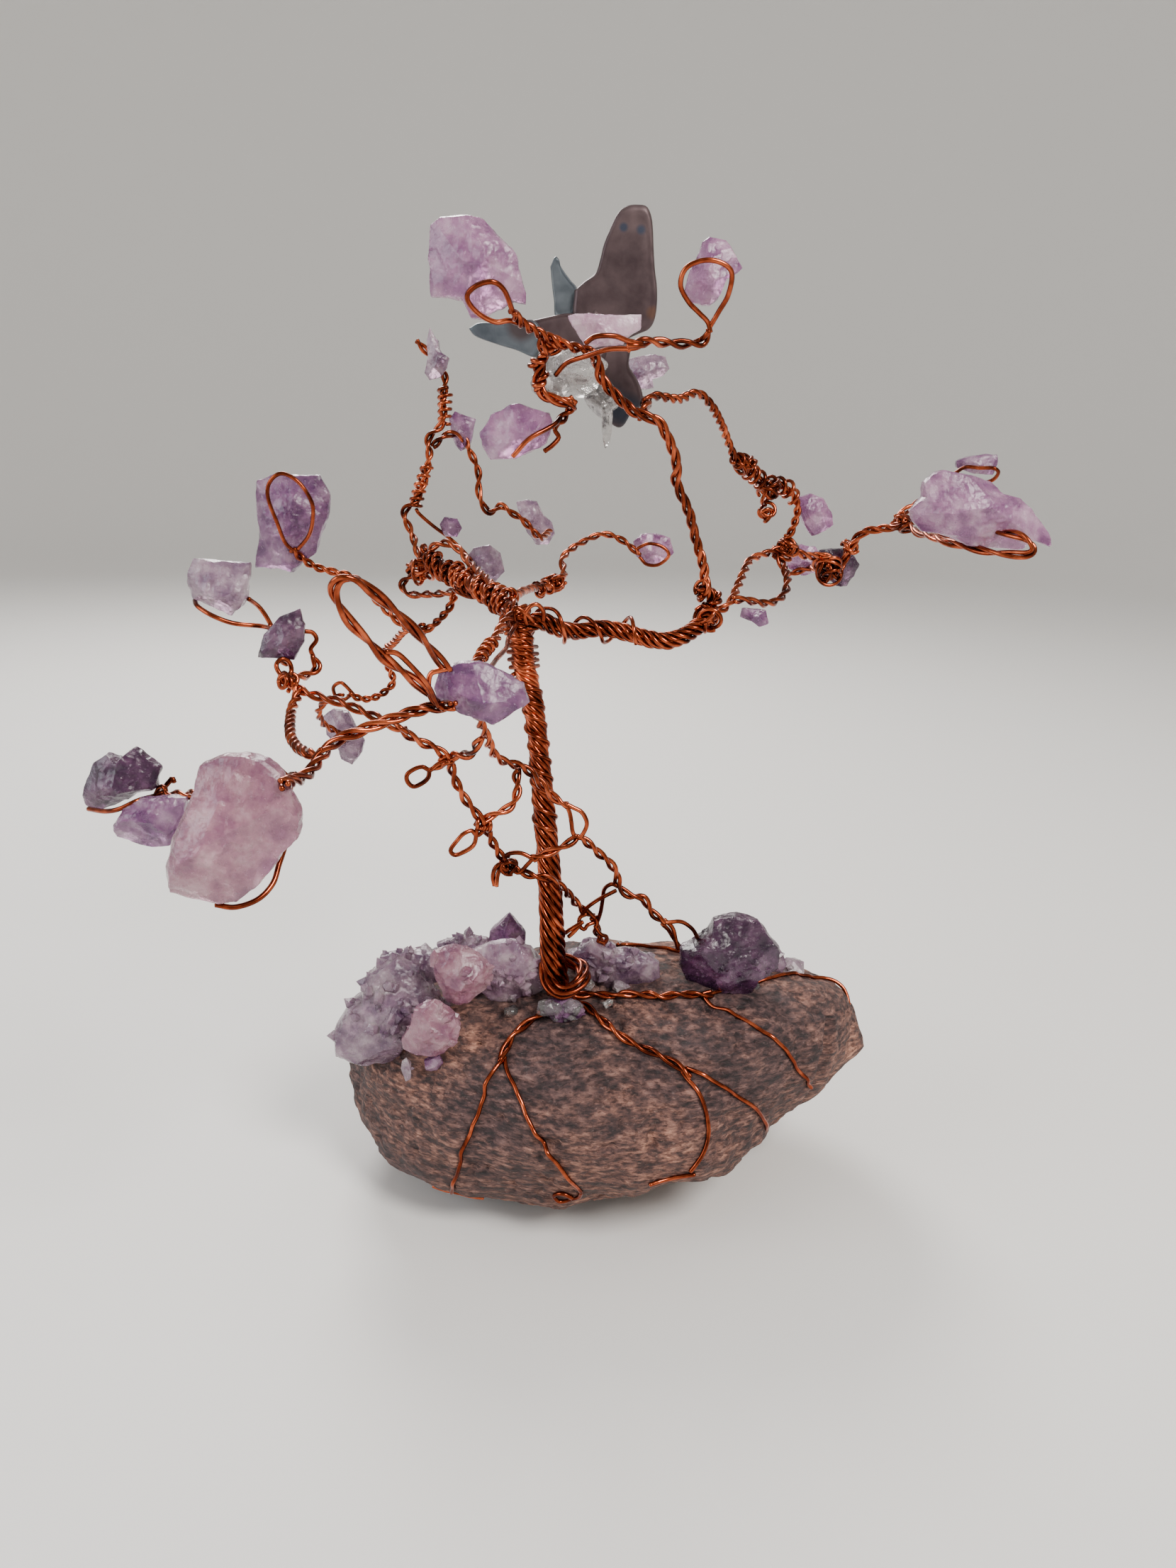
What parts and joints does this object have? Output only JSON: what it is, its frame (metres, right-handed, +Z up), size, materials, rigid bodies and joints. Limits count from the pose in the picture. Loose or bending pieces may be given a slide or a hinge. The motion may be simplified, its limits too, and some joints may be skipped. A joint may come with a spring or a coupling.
{
  "type": "wire_gem_tree",
  "caption": "Small tree of twisted copper wire rooted on a natural stone, hung with rough amethyst crystals, with a dark metal butterfly in its crown.",
  "frame": {"origin": "the point on the table under the middle of the trunk's foot", "axes": "+X to the viewer's right, -Y to the front, +Z up from the table"},
  "size_m": [0.1316, 0.1161, 0.146],
  "materials": {
    "copper": "satin",
    "stone": "rough",
    "amethyst": "frosted",
    "dark_amethyst": "polished",
    "butterfly": "satin"
  },
  "bodies": {
    "root": {"stone_base": "stone", "trunk": "copper", "right_bough": "copper", "upright_branch": "copper", "crown_left_branch": "copper", "crown_right_branch": "copper", "crown_hanger": "copper", "upper_right_branch": "copper", "ring_loop": "copper", "far_right_branch": "copper", "far_rear_wire": "copper", "left_rear_bough": "copper", "upper_left_branch": "copper", "inner_left_branch": "copper", "left_drooping_branch": "copper", "pendant_wire": "copper", "middle_rear_branch": "copper", "front_stem": "copper", "front_hairpin": "copper", "front_left_branch": "copper", "left_branch": "copper", "left_twig": "copper", "left_ladder_rail": "copper", "right_ladder_rail": "copper", "upper_rung": "copper", "lower_rung": "copper", "front_left_root": "copper", "front_middle_root": "copper", "front_right_root": "copper", "outer_right_root": "copper", "back_right_root": "copper", "side_right_root": "copper", "top_left_crystal": "amethyst", "slab_crystal": "amethyst", "top_right_crystal": "amethyst", "behind_wing_crystal": "amethyst", "hanging_crystal": "amethyst", "rear_tip_crystal": "amethyst", "rear_left_crystal": "amethyst", "rear_low_crystal": "amethyst", "far_rear_crystal": "amethyst", "middle_rear_crystal": "amethyst", "pendant_crystal": "amethyst", "left_upper_crystal": "amethyst", "left_knot_crystal": "dark_amethyst", "front_crystal": "amethyst", "far_left_upper_crystal": "dark_amethyst", "far_left_lower_crystal": "amethyst", "front_left_crystal": "amethyst", "rear_droop_crystal": "amethyst", "far_right_crystal": "amethyst", "far_rear_right_crystal": "amethyst", "coil_crystal": "amethyst", "behind_coil_crystal": "amethyst", "below_coil_crystal": "dark_amethyst", "left_cluster": "amethyst", "middle_cluster": "amethyst", "back_cluster": "amethyst", "dark_cluster": "dark_amethyst", "butterfly": "butterfly"}
  },
  "joints": []
}
